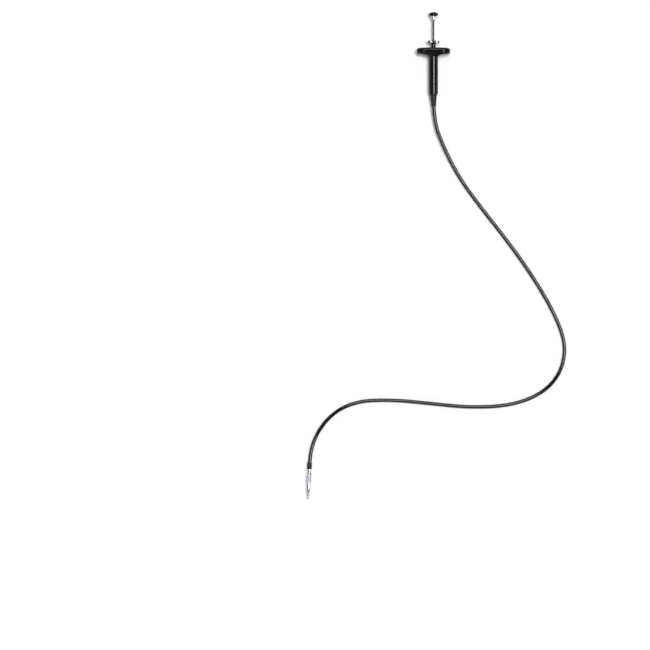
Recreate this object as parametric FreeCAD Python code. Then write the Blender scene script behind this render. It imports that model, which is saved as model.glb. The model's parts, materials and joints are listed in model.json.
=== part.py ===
"""Mechanical cable shutter release, laid on a flat surface with its cable in a loose S.

The handle is a thumb plunger above a two-winged finger rest, with a disc that frees a ball lock.
A steel wire runs from the plunger through a sheathed cable, 58 cm long, to the pin in the screw-in tip.
Units are millimetres. The handle lies along +Y with the thumb button at the +Y end, and the finger rest
stands on its lower edge at Z = 0. Handle stations (s) are measured from the finger rest's upper face,
positive towards the button. Tip stations (t) are measured from the cable's front end, outwards.
"""

import FreeCAD, Part
import math
import os

Vector = FreeCAD.Vector

# ---------------------------------------------------------------- driving dimensions
# Finger rest
REST_SPAN = 32.6
REST_DEPTH = 13.5
REST_CROWN = 0.45
REST_WING_THICKNESS = 5.75
REST_WING_FLAT = 3.2
REST_HUB_THICKNESS = 8.4
REST_EDGE_ROUND = 1.9
REST_TOP_WEB = 1.6

# Grip barrel
BARREL_DIAMETER = 9.0
BARREL_LENGTH = 36.1
BARREL_UPPER_BORE = 6.6
BARREL_LOWER_BORE = 6.0
SPIGOT_DIAMETER = 7.8
BARREL_END_ROUND = 0.6

# Lock: disc, stem, balls and the coned sleeve that they wedge in
STEM_DIAMETER = 4.3
STEM_EXPOSED = 4.4
STEM_INSIDE = 10.0
STEM_FLANGE_DIAMETER = 5.4
STEM_FLANGE_THICKNESS = 0.8
DISC_DIAMETER = 11.9
DISC_THICKNESS = 2.3
DISC_EDGE_ROUND = 0.7
HUB_DIAMETER = 6.2
HUB_HEIGHT = 0.8
DISC_BOSS_DIAMETER = 5.6
DISC_BOSS_HEIGHT = 0.7
LOCK_TRAVEL = 2.0
BALL_DIAMETER = 1.5
BALL_COUNT = 3
BALL_DEPTH = 8.5
CONE_SLOPE = 0.13
CONE_LENGTH = 3.8
SLEEVE_GUIDE_LENGTH = 1.8
SLEEVE_LENGTH = 9.8

# Plunger
ROD_DIAMETER = 1.8
ROD_EXPOSED = 19.7
ROD_IN_BUTTON = 2.6
ROD_IN_CLAMP = 3.0
BUTTON_COLLAR_DIAMETER = 4.1
BUTTON_COLLAR_LENGTH = 3.0
BUTTON_DIAMETER = 9.0
BUTTON_HEIGHT = 4.4
BUTTON_SEAT_DIAMETER = 5.0
BUTTON_CONE_HEIGHT = 1.3
BUTTON_RIM_HEIGHT = 1.3
PLUNGER_TRAVEL = 14.0
GUIDE_BUSH_LENGTH = 3.0
STOP_COLLAR_DIAMETER = 5.4
STOP_COLLAR_LENGTH = 2.6
CLAMP_DIAMETER = 2.8
CLAMP_LENGTH = 6.0

# Springs
RETURN_SPRING_WIRE = 0.5
RETURN_SPRING_OUTSIDE = 4.9
RETURN_SPRING_TURNS = 12
LOCK_SPRING_WIRE = 0.35
LOCK_SPRING_OUTSIDE = 4.2
LOCK_SPRING_TURNS = 4
SPRING_END_GAP = 0.45

# End plug and the sleeve on the cable below it
PLUG_INSERT_LENGTH = 3.5
PLUG_FLANGE_DIAMETER = 7.6
PLUG_FLANGE_LENGTH = 1.8
CABLE_IN_PLUG = 3.2
RELIEF_DIAMETER = 6.2
RELIEF_END_DIAMETER = 4.6
RELIEF_LENGTH = 10.0
RELIEF_COLLAR_LENGTH = 2.4
RELIEF_END_ROUND = 0.3

# Cable
CABLE_DIAMETER = 3.6
CONDUIT_DIAMETER = 2.4
CONDUIT_BORE = 1.6
WIRE_DIAMETER = 1.0

# Screw-in tip
END_SLEEVE_DIAMETER = 4.7
END_SLEEVE_LENGTH = 6.3
FERRULE_DIAMETER = 4.85
FERRULE_LENGTH = 3.9
CABLE_IN_FERRULE = 2.3
SWIVEL_NECK_DIAMETER = 2.8
SWIVEL_FLANGE_DIAMETER = 4.2
SWIVEL_FLANGE_THICKNESS = 1.5
COLLAR_DIAMETER = 5.7
COLLAR_LIP_THICKNESS = 1.1
COLLAR_CONE_LENGTH = 1.8
COLLAR_GRIP_LENGTH = 7.7
NOSE_DIAMETER = 4.8
NOSE_LENGTH = 6.8
NOSE_TAPER_LENGTH = 2.4
THREAD_ROOT_DIAMETER = 3.3
THREAD_END_DIAMETER = 2.9
THREAD_LENGTH = 6.0
PIN_DIAMETER = 1.6
PIN_RECESS = 0.5
WIRE_IN_PIN = 3.0

# Clearances
RUNNING_GAP = 0.05
PRESS_GAP = 0.02
SEAT_GAP = 0.1
SPRING_SEAT_GAP = 0.05
CAGE_GAP = 0.05

# Lie of the cable on the surface
TIP_ANGLE = 2.7
LAST_RUN = 13.0
FIRST_RUN = 26.9
FLOOR_GAP = 0.05
# Route after the first run, as X, distance below the finger rest's upper face, height of the axis above
# the cable's resting height
ROUTE = [
    (11, 98, 2.2),
    (25, 125, 0.2),
    (43, 150, 0),
    (73, 188, 0),
    (93, 216, 0),
    (111, 245, 0),
    (123, 270, 0),
    (128, 290, 0),
    (124, 311, 0),
    (112, 328, 0),
    (92, 340, 0),
    (67, 346, 0),
    (36, 347, 0),
    (12, 345, 0),
    (-25, 341, 0),
    (-48, 340, 0),
    (-70, 341, 0),
    (-90, 348, 0),
    (-106, 362, 0),
    (-116, 380, 0.2),
]
ROUTE_END = (-119.3, 396)

# ---------------------------------------------------------------- stations along the handle
DISC_BOTTOM = STEM_EXPOSED
DISC_TOP = DISC_BOTTOM + DISC_THICKNESS
HUB_TOP = DISC_TOP + HUB_HEIGHT
BUTTON_COLLAR_BOTTOM = HUB_TOP + ROD_EXPOSED
BUTTON_BOTTOM = BUTTON_COLLAR_BOTTOM + BUTTON_COLLAR_LENGTH
BUTTON_TOP = BUTTON_BOTTOM + BUTTON_HEIGHT

BARREL_SHOULDER = -REST_HUB_THICKNESS
BARREL_BOTTOM = BARREL_SHOULDER - BARREL_LENGTH
STEM_FLANGE_TOP = -REST_TOP_WEB - SEAT_GAP
SLEEVE_TOP = STEM_FLANGE_TOP - STEM_FLANGE_THICKNESS - LOCK_TRAVEL - 3 * SEAT_GAP
CONE_TOP = SLEEVE_TOP - SLEEVE_GUIDE_LENGTH
CONE_BOTTOM = CONE_TOP - CONE_LENGTH
SLEEVE_BOTTOM = SLEEVE_TOP - SLEEVE_LENGTH
GUIDE_BUSH_BOTTOM = SLEEVE_BOTTOM - GUIDE_BUSH_LENGTH
STOP_COLLAR_TOP = GUIDE_BUSH_BOTTOM - SEAT_GAP
STOP_COLLAR_BOTTOM = STOP_COLLAR_TOP - STOP_COLLAR_LENGTH
CLAMP_TOP = STOP_COLLAR_BOTTOM - 2 * SEAT_GAP
CLAMP_BOTTOM = CLAMP_TOP - CLAMP_LENGTH
ROD_BOTTOM = CLAMP_TOP - ROD_IN_CLAMP
PLUG_TOP = BARREL_BOTTOM + PLUG_INSERT_LENGTH
PLUG_BOTTOM = BARREL_BOTTOM - PLUG_FLANGE_LENGTH
CABLE_START = PLUG_BOTTOM + CABLE_IN_PLUG

# ---------------------------------------------------------------- stations along the tip
FERRULE_BACK = -CABLE_IN_FERRULE
FERRULE_FRONT = FERRULE_BACK + FERRULE_LENGTH
END_SLEEVE_BACK = FERRULE_BACK - END_SLEEVE_LENGTH
COLLAR_BACK = FERRULE_FRONT + SEAT_GAP
COLLAR_CONE_FRONT = COLLAR_BACK + COLLAR_CONE_LENGTH
LIP_FRONT = COLLAR_BACK + COLLAR_LIP_THICKNESS
SWIVEL_BACK = LIP_FRONT + SEAT_GAP
SWIVEL_FRONT = SWIVEL_BACK + SWIVEL_FLANGE_THICKNESS
CAVITY_FRONT = SWIVEL_FRONT + SEAT_GAP
GRIP_FRONT = COLLAR_CONE_FRONT + COLLAR_GRIP_LENGTH
NOSE_FRONT = GRIP_FRONT + NOSE_LENGTH
THREAD_BACK = NOSE_FRONT + NOSE_TAPER_LENGTH
THREAD_FRONT = THREAD_BACK + THREAD_LENGTH
PIN_BACK = SWIVEL_FRONT + 3 * SEAT_GAP
PIN_FRONT = THREAD_FRONT - PIN_RECESS

# A quarter-round's middle lies this share of its radius in from the sharp corner, along each side
CORNER_SHARE = 1 - math.sqrt(0.5)

# ---------------------------------------------------------------- where the handle and the tip lie
# The handle's middle, without the cable, is at Y = 0
REST_TOP_Y = -(BUTTON_TOP + PLUG_BOTTOM) / 2
AXIS_HEIGHT = REST_DEPTH / 2
CABLE_HEIGHT = CABLE_DIAMETER / 2 + FLOOR_GAP
TIP_HEIGHT = COLLAR_DIAMETER / 2
TIP_DIRECTION = Vector(-math.sin(math.radians(TIP_ANGLE)), -math.cos(math.radians(TIP_ANGLE)), 0)


def in_xz(point):
    return Vector(point[0], 0, point[1])


def outline(start, *steps):
    """A closed face in the XZ plane. A step is a corner (x, z), or a pair of points for an arc."""
    here = start
    edges = []
    for step in list(steps) + [start]:
        if isinstance(step[0], tuple):
            middle, end = step
            edges.append(Part.Arc(in_xz(here), in_xz(middle), in_xz(end)).toShape())
            here = end
        elif step != here:
            edges.append(Part.LineSegment(in_xz(here), in_xz(step)).toShape())
            here = step
    return Part.Face(Part.Wire(edges))


def turned(start, *steps):
    """A solid of revolution about Z from an outline of (radius, station) corners."""
    return outline(start, *steps).revolve(Vector(0, 0, 0), Vector(0, 0, 1), 360)


def ring(outer_diameter, inner_diameter, low, high, chamfer=0.0):
    """A plain bush between two stations, with its outer corners bevelled."""
    outer = outer_diameter / 2
    inner = inner_diameter / 2
    return turned(
        (inner, low),
        (outer - chamfer, low),
        (outer, low + chamfer),
        (outer, high - chamfer),
        (outer - chamfer, high),
        (inner, high),
    )


def bore(diameter, low, high):
    return Part.makeCylinder(diameter / 2, high - low, Vector(0, 0, low))


def on_handle(shape):
    """Places a shape made about Z on the handle's axis, its +Z towards the thumb button."""
    placed = shape.copy()
    placed.Placement = FreeCAD.Placement(
        Vector(0, REST_TOP_Y, AXIS_HEIGHT), FreeCAD.Rotation(Vector(1, 0, 0), -90)
    )
    return placed


def on_tip(shape):
    """Places a shape made about Z on the tip's axis, its +Z outwards from the cable's front end."""
    placed = shape.copy()
    placed.Placement = FreeCAD.Placement(cable_points()[-1], FreeCAD.Rotation(Vector(0, 0, 1), TIP_DIRECTION))
    return placed


# ---------------------------------------------------------------- cable route
def cable_points():
    """The route's points: out of the plug along the handle, over the surface, and into the ferrule."""
    start = Vector(0, REST_TOP_Y + CABLE_START, AXIS_HEIGHT)
    points = [start, start - Vector(0, FIRST_RUN, 0)]
    for x, below, lift in ROUTE:
        points.append(Vector(x, REST_TOP_Y - below, CABLE_HEIGHT + lift))
    points.append(Vector(ROUTE_END[0], REST_TOP_Y - ROUTE_END[1], TIP_HEIGHT))
    points.append(points[-1] + TIP_DIRECTION * LAST_RUN)
    return points


def rounded_path(points):
    """Straight runs joined by tangent arcs, each as large as its two runs allow."""
    edges = []
    radii = []
    here = points[0]
    for before, corner, after in zip(points, points[1:], points[2:]):
        into = (corner - before).normalize()
        out = (after - corner).normalize()
        half_turn = into.getAngle(out) / 2
        tangent = 0.45 * min((corner - before).Length, (after - corner).Length)
        radius = tangent / math.tan(half_turn)
        arc_start = corner - into * tangent
        arc_end = corner + out * tangent
        inward = (out - into).normalize()
        arc_middle = corner + inward * (radius / math.cos(half_turn) - radius)
        edges.append(Part.LineSegment(here, arc_start).toShape())
        edges.append(Part.Arc(arc_start, arc_middle, arc_end).toShape())
        radii.append(radius)
        here = arc_end
    edges.append(Part.LineSegment(here, points[-1]).toShape())
    return edges, radii


def swept(edges, outer_diameter, inner_diameter=0.0):
    """A tube or rod along a path that starts at the first edge's start."""
    spine = Part.Wire(edges)
    start = edges[0].valueAt(edges[0].FirstParameter)
    heading = edges[0].tangentAt(edges[0].FirstParameter)
    section = Part.Face(Part.Wire(Part.makeCircle(outer_diameter / 2, start, heading)))
    if inner_diameter:
        section = section.cut(Part.Face(Part.Wire(Part.makeCircle(inner_diameter / 2, start, heading))))
        section = section.Faces[0]
    solid = spine.makePipe(section)
    area = math.pi * (outer_diameter**2 - inner_diameter**2) / 4
    print("  volume / (section x length) =", round(solid.Volume / (area * spine.Length), 5))
    return solid


# ---------------------------------------------------------------- springs
def helix_edges(radius, heights):
    """A helix about Z through the given heights, one per half turn, each half turn made of two arcs."""
    edges = []
    for i, (low, high) in enumerate(zip(heights, heights[1:])):
        side = 1 if i % 2 == 0 else -1
        start = Vector(side * radius, 0, low)
        end = Vector(-side * radius, 0, high)
        rise_before = high - low if i == 0 else (high - heights[i - 1]) / 2
        rise_after = high - low if i == len(heights) - 2 else (heights[i + 2] - low) / 2
        heading_in = Vector(0, side * math.pi * radius, rise_before).normalize()
        heading_out = Vector(0, -side * math.pi * radius, rise_after).normalize()
        reach = biarc_reach(start, heading_in, end, heading_out)
        first = start + heading_in * reach
        second = end - heading_out * reach
        joint = (first + second) / 2
        edges.append(arc_between(start, first, joint))
        edges.append(arc_between(joint, second, end))
    return edges


def biarc_reach(start, heading_in, end, heading_out):
    """How far the two control points lie along the end headings, so that both arcs meet smoothly."""
    across = end - start
    both = heading_in + heading_out
    a = 2 * (1 - heading_in.dot(heading_out))
    b = 2 * across.dot(both)
    c = -across.dot(across)
    return (-b + math.sqrt(b * b - 4 * a * c)) / (2 * a)


def arc_between(start, corner, end):
    """The arc from start to end whose end tangents cross at the corner."""
    middle = (start + end) / 2
    half_chord = (end - start).Length / 2
    half_turn = math.acos(half_chord / (corner - start).Length)
    sagitta = half_chord * math.tan(half_turn / 2)
    return Part.Arc(start, middle + (corner - middle).normalize() * sagitta, end).toShape()


def compression_spring(name, outside, wire, turns, low, high):
    """A wound spring between two seats, its end turns closer together than the rest."""
    radius = (outside - wire) / 2
    first = low + SPRING_SEAT_GAP + wire / 2
    last = high - SPRING_SEAT_GAP - wire / 2
    end_rise = wire + SPRING_END_GAP
    middle_turns = turns - 2
    rise = (last - first - 2 * end_rise) / middle_turns
    heights = [first, first + end_rise / 2]
    for half in range(2 * middle_turns + 1):
        heights.append(first + end_rise + rise * half / 2)
    heights.append(last - end_rise / 2)
    heights.append(last)
    edges = helix_edges(radius, heights)
    spine = Part.Wire(edges)
    start = edges[0].valueAt(edges[0].FirstParameter)
    heading = edges[0].tangentAt(edges[0].FirstParameter)
    section = Part.Wire(Part.makeCircle(wire / 2, start, heading))
    solid = spine.makePipeShell([section], True, False)
    points = [edge.valueAt(edge.FirstParameter + k * (edge.LastParameter - edge.FirstParameter) / 6)
              for edge in edges for k in range(6)]
    apart = min((p - q).Length for i, p in enumerate(points) for q in points[i + 12:])
    print("  %s: least gap to itself %.2f, volume ratio %.4f"
          % (name, apart - wire, solid.Volume / (math.pi * wire**2 / 4 * spine.Length)))
    return solid


# ---------------------------------------------------------------- finger rest and barrel
def finger_rest():
    """Two wings, slightly crowned on top and scooped below for the fingers, with a socket for the barrel."""
    tip = REST_SPAN / 2
    hub = BARREL_DIAMETER / 2
    under = -REST_CROWN - REST_WING_THICKNESS
    flat_end = tip - REST_WING_FLAT
    reach = flat_end - hub
    drop = REST_HUB_THICKNESS + under
    scoop = (reach**2 + drop**2) / (2 * drop)
    turn = math.asin(reach / scoop) / 2
    middle_x = flat_end - scoop * math.sin(turn)
    middle_z = under - scoop * (1 - math.cos(turn))
    side = outline(
        (-tip, -REST_CROWN),
        ((0, 0), (tip, -REST_CROWN)),
        (tip, under),
        (flat_end, under),
        ((middle_x, middle_z), (hub, -REST_HUB_THICKNESS)),
        (-hub, -REST_HUB_THICKNESS),
        ((-middle_x, middle_z), (-flat_end, under)),
        (-tip, under),
    )
    wings = side.extrude(Vector(0, REST_DEPTH, 0))
    wings.translate(Vector(0, -REST_DEPTH / 2, 0))
    end_centre = tip - REST_DEPTH / 2
    middle = Part.makeBox(2 * end_centre, REST_DEPTH, REST_HUB_THICKNESS,
                          Vector(-end_centre, -REST_DEPTH / 2, -REST_HUB_THICKNESS))
    ends = [Part.makeCylinder(REST_DEPTH / 2, REST_HUB_THICKNESS, Vector(x, 0, -REST_HUB_THICKNESS))
            for x in (-end_centre, end_centre)]
    plan = middle.fuse(ends).removeSplitter()
    body = wings.common(plan)
    rim = [edge for edge in body.Edges
           if edge_runs_round(edge, REST_DEPTH / 2, end_centre)]
    body = body.makeFillet(REST_EDGE_ROUND, rim)
    body = body.cut(bore(STEM_DIAMETER + 2 * RUNNING_GAP, -REST_HUB_THICKNESS - 1, 1))
    return body.cut(bore(SPIGOT_DIAMETER + 2 * PRESS_GAP, -REST_HUB_THICKNESS - 1, -REST_TOP_WEB))


def edge_runs_round(edge, half_depth, end_centre):
    """True for an edge of the rest's upper or lower rim: all of it lies on the stadium's outline."""
    count = 5
    span = edge.LastParameter - edge.FirstParameter
    for k in range(count):
        point = edge.valueAt(edge.FirstParameter + span * (k + 0.5) / count)
        beyond = max(abs(point.x) - end_centre, 0)
        if abs(math.hypot(beyond, point.y) - half_depth) > 0.001:
            return False
    low = edge.valueAt(edge.FirstParameter)
    high = edge.valueAt(edge.LastParameter)
    upright = abs(low.x - high.x) < 0.001 and abs(low.y - high.y) < 0.001
    return not upright


def grip_barrel():
    """A tube with a spigot for the finger rest and a step in its bore that carries the guide bush."""
    outer = BARREL_DIAMETER / 2
    spigot = SPIGOT_DIAMETER / 2
    upper = BARREL_UPPER_BORE / 2
    lower = BARREL_LOWER_BORE / 2
    soft = BARREL_END_ROUND * CORNER_SHARE
    return turned(
        (lower, BARREL_BOTTOM),
        (outer - BARREL_END_ROUND, BARREL_BOTTOM),
        ((outer - soft, BARREL_BOTTOM + soft), (outer, BARREL_BOTTOM + BARREL_END_ROUND)),
        (outer, BARREL_SHOULDER),
        (spigot, BARREL_SHOULDER),
        (spigot, -REST_TOP_WEB),
        (upper, -REST_TOP_WEB),
        (upper, GUIDE_BUSH_BOTTOM),
        (lower, GUIDE_BUSH_BOTTOM),
    )


def end_plug():
    """Closes the barrel and grips the cable: wire hole above, cable socket below."""
    insert = BARREL_LOWER_BORE / 2 - PRESS_GAP
    flange = PLUG_FLANGE_DIAMETER / 2
    socket = CABLE_DIAMETER / 2 + PRESS_GAP
    wire_hole = CONDUIT_BORE / 2
    edge = PLUG_FLANGE_LENGTH / 4
    return turned(
        (wire_hole, PLUG_TOP),
        (insert, PLUG_TOP),
        (insert, BARREL_BOTTOM),
        (flange, BARREL_BOTTOM),
        (flange, PLUG_BOTTOM + edge),
        (flange - edge, PLUG_BOTTOM),
        (socket, PLUG_BOTTOM),
        (socket, CABLE_START),
        (wire_hole, CABLE_START),
    )


# ---------------------------------------------------------------- lock
def lock_disc():
    """The release disc: a turned disc with a hub above, pressed on the stem's spigot."""
    rim = DISC_DIAMETER / 2
    hub = HUB_DIAMETER / 2
    soft = DISC_EDGE_ROUND * CORNER_SHARE
    disc = turned(
        (0, DISC_BOTTOM - DISC_BOSS_HEIGHT),
        (STEM_DIAMETER / 2 + soft, DISC_BOTTOM - DISC_BOSS_HEIGHT),
        (DISC_BOSS_DIAMETER / 2, DISC_BOTTOM),
        (rim - DISC_EDGE_ROUND, DISC_BOTTOM),
        ((rim - soft, DISC_BOTTOM + soft), (rim, DISC_BOTTOM + DISC_EDGE_ROUND)),
        (rim, DISC_TOP - DISC_EDGE_ROUND),
        ((rim - soft, DISC_TOP - soft), (rim - DISC_EDGE_ROUND, DISC_TOP)),
        (hub, DISC_TOP),
        (hub - HUB_HEIGHT / 2, HUB_TOP),
        (0, HUB_TOP),
    )
    disc = disc.cut(bore(STEM_DIAMETER + 2 * PRESS_GAP, DISC_BOTTOM - DISC_BOSS_HEIGHT, DISC_BOTTOM))
    disc = disc.cut(bore(stem_spigot_diameter() + 2 * PRESS_GAP, DISC_BOTTOM, DISC_TOP))
    return disc.cut(bore(stem_bore(), DISC_TOP, HUB_TOP))


def stem_spigot_diameter():
    return (STEM_DIAMETER + stem_bore()) / 2


def stem_bore():
    return ROD_DIAMETER + 2 * RUNNING_GAP


def lock_stem():
    """The disc's tube: a flange keeps it in the finger rest, and holes near its end cage the balls."""
    outer = STEM_DIAMETER / 2
    inner = stem_bore() / 2
    spigot = stem_spigot_diameter() / 2
    flange = STEM_FLANGE_DIAMETER / 2
    stem = turned(
        (inner, -STEM_INSIDE),
        (outer, -STEM_INSIDE),
        (outer, STEM_FLANGE_TOP - STEM_FLANGE_THICKNESS),
        (flange, STEM_FLANGE_TOP - STEM_FLANGE_THICKNESS),
        (flange, STEM_FLANGE_TOP),
        (outer, STEM_FLANGE_TOP),
        (outer, DISC_BOTTOM),
        (spigot, DISC_BOTTOM),
        (spigot, DISC_TOP),
        (inner, DISC_TOP),
    )
    cage_radius = BALL_DIAMETER / 2 + CAGE_GAP
    for turn in ball_turns():
        hole = Part.makeCylinder(cage_radius, STEM_DIAMETER, Vector(0, 0, -BALL_DEPTH), Vector(1, 0, 0))
        hole.rotate(Vector(0, 0, 0), Vector(0, 0, 1), turn)
        stem = stem.cut(hole)
    return stem


def ball_turns():
    return [360 * k / BALL_COUNT for k in range(BALL_COUNT)]


def ball_centre_radius():
    return ROD_DIAMETER / 2 + CAGE_GAP / 2 + BALL_DIAMETER / 2


def lock_balls():
    """Balls in the stem's holes, between the rod and the sleeve's cone."""
    balls = []
    for turn in ball_turns():
        ball = Part.makeSphere(BALL_DIAMETER / 2, Vector(ball_centre_radius(), 0, -BALL_DEPTH))
        ball.rotate(Vector(0, 0, 0), Vector(0, 0, 1), turn)
        balls.append(ball)
    return Part.makeCompound(balls)


def cone_radius(station):
    """The sleeve's cone, which just clears the balls at rest and widens towards the cable."""
    at_balls = ball_centre_radius() + (BALL_DIAMETER / 2 + CAGE_GAP / 2) * math.sqrt(1 + CONE_SLOPE**2)
    return at_balls + CONE_SLOPE * (-BALL_DEPTH - station)


def lock_sleeve():
    """Pressed in the barrel: guides the stem above, wedges the balls, and houses the lock spring."""
    outer = BARREL_UPPER_BORE / 2 - PRESS_GAP
    guide = STEM_DIAMETER / 2 + RUNNING_GAP
    return turned(
        (guide, SLEEVE_TOP),
        (outer, SLEEVE_TOP),
        (outer, SLEEVE_BOTTOM),
        (cone_radius(CONE_BOTTOM), SLEEVE_BOTTOM),
        (cone_radius(CONE_BOTTOM), CONE_BOTTOM),
        (cone_radius(CONE_TOP), CONE_TOP),
        (guide, CONE_TOP),
    )


def guide_bush():
    return ring(
        BARREL_UPPER_BORE - 2 * PRESS_GAP, ROD_DIAMETER + 2 * RUNNING_GAP, GUIDE_BUSH_BOTTOM, SLEEVE_BOTTOM
    )


# ---------------------------------------------------------------- plunger
def thumb_button():
    """A domed button on a cone, blind below for the rod."""
    rim = BUTTON_DIAMETER / 2
    seat = BUTTON_SEAT_DIAMETER / 2
    rim_low = BUTTON_BOTTOM + BUTTON_CONE_HEIGHT
    rim_high = rim_low + BUTTON_RIM_HEIGHT
    dome = BUTTON_TOP - rim_high
    dome_radius = (rim**2 + dome**2) / (2 * dome)
    half = rim / 2
    half_height = BUTTON_TOP - dome_radius + math.sqrt(dome_radius**2 - half**2)
    button = turned(
        (0, BUTTON_BOTTOM),
        (seat, BUTTON_BOTTOM),
        (rim, rim_low),
        (rim, rim_high),
        ((half, half_height), (0, BUTTON_TOP)),
    )
    return button.cut(bore(ROD_DIAMETER + 2 * PRESS_GAP, BUTTON_BOTTOM - 1, BUTTON_BOTTOM + ROD_IN_BUTTON))


def button_collar():
    return ring(
        BUTTON_COLLAR_DIAMETER,
        ROD_DIAMETER + 2 * PRESS_GAP,
        BUTTON_COLLAR_BOTTOM,
        BUTTON_BOTTOM,
        BUTTON_COLLAR_LENGTH / 10,
    )


def plunger_rod():
    return bore(ROD_DIAMETER, ROD_BOTTOM, BUTTON_BOTTOM + ROD_IN_BUTTON)


def stop_collar():
    """Pressed on the rod: rests under the guide bush and carries the return spring on its spigot."""
    outer = STOP_COLLAR_DIAMETER / 2
    spigot = (RETURN_SPRING_OUTSIDE / 2 - RETURN_SPRING_WIRE - 2 * RUNNING_GAP)
    hole = ROD_DIAMETER / 2 + PRESS_GAP
    step = STOP_COLLAR_TOP - STOP_COLLAR_LENGTH / 2
    return turned(
        (hole, STOP_COLLAR_BOTTOM),
        (spigot, STOP_COLLAR_BOTTOM),
        (spigot, step),
        (outer, step),
        (outer, STOP_COLLAR_TOP),
        (hole, STOP_COLLAR_TOP),
    )


def wire_clamp():
    """Crimped over the rod's end and the wire's end."""
    outer = CLAMP_DIAMETER / 2
    rod_hole = ROD_DIAMETER / 2 + PRESS_GAP
    wire_hole = WIRE_DIAMETER / 2 + PRESS_GAP
    edge = CLAMP_DIAMETER / 10
    return turned(
        (wire_hole, CLAMP_BOTTOM),
        (outer - edge, CLAMP_BOTTOM),
        (outer, CLAMP_BOTTOM + edge),
        (outer, CLAMP_TOP),
        (rod_hole, CLAMP_TOP),
        (rod_hole, ROD_BOTTOM),
        (wire_hole, ROD_BOTTOM),
    )


# ---------------------------------------------------------------- cable
def strain_relief():
    """A soft boot under the plug: a straight collar, then a taper down to the cable."""
    hole = CABLE_DIAMETER / 2 + PRESS_GAP
    outer = RELIEF_DIAMETER / 2
    end = RELIEF_END_DIAMETER / 2
    low = PLUG_BOTTOM - RELIEF_LENGTH
    soft = RELIEF_END_ROUND * CORNER_SHARE
    return turned(
        (hole, low),
        (end - RELIEF_END_ROUND, low),
        ((end - soft, low + soft), (end, low + RELIEF_END_ROUND)),
        (outer, PLUG_BOTTOM - RELIEF_COLLAR_LENGTH),
        (outer, PLUG_BOTTOM),
        (hole, PLUG_BOTTOM),
    )


def release_wire(edges):
    """The steel wire, from the rod's end in the clamp to the bottom of the pin's socket."""
    rod_end = Vector(0, REST_TOP_Y + ROD_BOTTOM, AXIS_HEIGHT)
    arc_start = edges[1].valueAt(edges[1].FirstParameter)
    tip_end = cable_points()[-1] + TIP_DIRECTION * (PIN_BACK + WIRE_IN_PIN)
    last = edges[-1].valueAt(edges[-1].FirstParameter)
    path = [Part.LineSegment(rod_end, arc_start).toShape()] + edges[1:-1]
    return swept(path + [Part.LineSegment(last, tip_end).toShape()], WIRE_DIAMETER)


# ---------------------------------------------------------------- tip
def end_sleeve():
    return ring(END_SLEEVE_DIAMETER, CABLE_DIAMETER + 2 * RUNNING_GAP, END_SLEEVE_BACK, FERRULE_BACK, 0.3)


def tip_ferrule():
    """Crimped on the cable's end: cable socket behind, neck hole in front."""
    outer = FERRULE_DIAMETER / 2
    socket = CABLE_DIAMETER / 2 + PRESS_GAP
    neck_hole = SWIVEL_NECK_DIAMETER / 2 + PRESS_GAP
    groove = FERRULE_LENGTH / 13
    middle = (FERRULE_BACK + FERRULE_FRONT) / 2
    return turned(
        (socket, FERRULE_BACK),
        (outer, FERRULE_BACK),
        (outer, middle - groove),
        (outer - groove, middle),
        (outer, middle + groove),
        (outer, FERRULE_FRONT),
        (neck_hole, FERRULE_FRONT),
        (neck_hole, 0),
        (socket, 0),
    )


def swivel_bush():
    """Its neck is pressed in the ferrule, and its flange is trapped in the collar, which turns on it."""
    neck = SWIVEL_NECK_DIAMETER / 2
    flange = SWIVEL_FLANGE_DIAMETER / 2
    hole = CONDUIT_BORE / 2
    return turned(
        (hole, 0),
        (neck, 0),
        (neck, SWIVEL_BACK),
        (flange, SWIVEL_BACK),
        (flange, SWIVEL_FRONT),
        (hole, SWIVEL_FRONT),
    )


def thread_collar():
    """The screw-in collar: rolled lip, grip, plain nose and tapered thread blank, bored for the pin."""
    lip = SWIVEL_NECK_DIAMETER / 2 + 2 * RUNNING_GAP
    cavity = SWIVEL_FLANGE_DIAMETER / 2 + RUNNING_GAP
    pin_hole = PIN_DIAMETER / 2 + RUNNING_GAP
    grip = COLLAR_DIAMETER / 2
    nose = NOSE_DIAMETER / 2
    return turned(
        (lip, COLLAR_BACK),
        (FERRULE_DIAMETER / 2, COLLAR_BACK),
        (grip, COLLAR_CONE_FRONT),
        (grip, GRIP_FRONT),
        (nose, GRIP_FRONT),
        (nose, NOSE_FRONT),
        (THREAD_ROOT_DIAMETER / 2, THREAD_BACK),
        (THREAD_END_DIAMETER / 2, THREAD_FRONT),
        (pin_hole, THREAD_FRONT),
        (pin_hole, CAVITY_FRONT),
        (cavity, CAVITY_FRONT),
        (cavity, LIP_FRONT),
        (lip, LIP_FRONT),
    )


def release_pin():
    """A round pin with a rounded end, drilled behind for the wire."""
    outer = PIN_DIAMETER / 2
    wire_hole = WIRE_DIAMETER / 2 + PRESS_GAP
    soft = outer / 2
    corner = soft * CORNER_SHARE
    return turned(
        (wire_hole, PIN_BACK),
        (outer, PIN_BACK),
        (outer, PIN_FRONT - soft),
        ((outer - corner, PIN_FRONT - corner), (outer - soft, PIN_FRONT)),
        (0, PIN_FRONT),
        (0, PIN_BACK + WIRE_IN_PIN),
        (wire_hole, PIN_BACK + WIRE_IN_PIN),
    )


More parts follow.
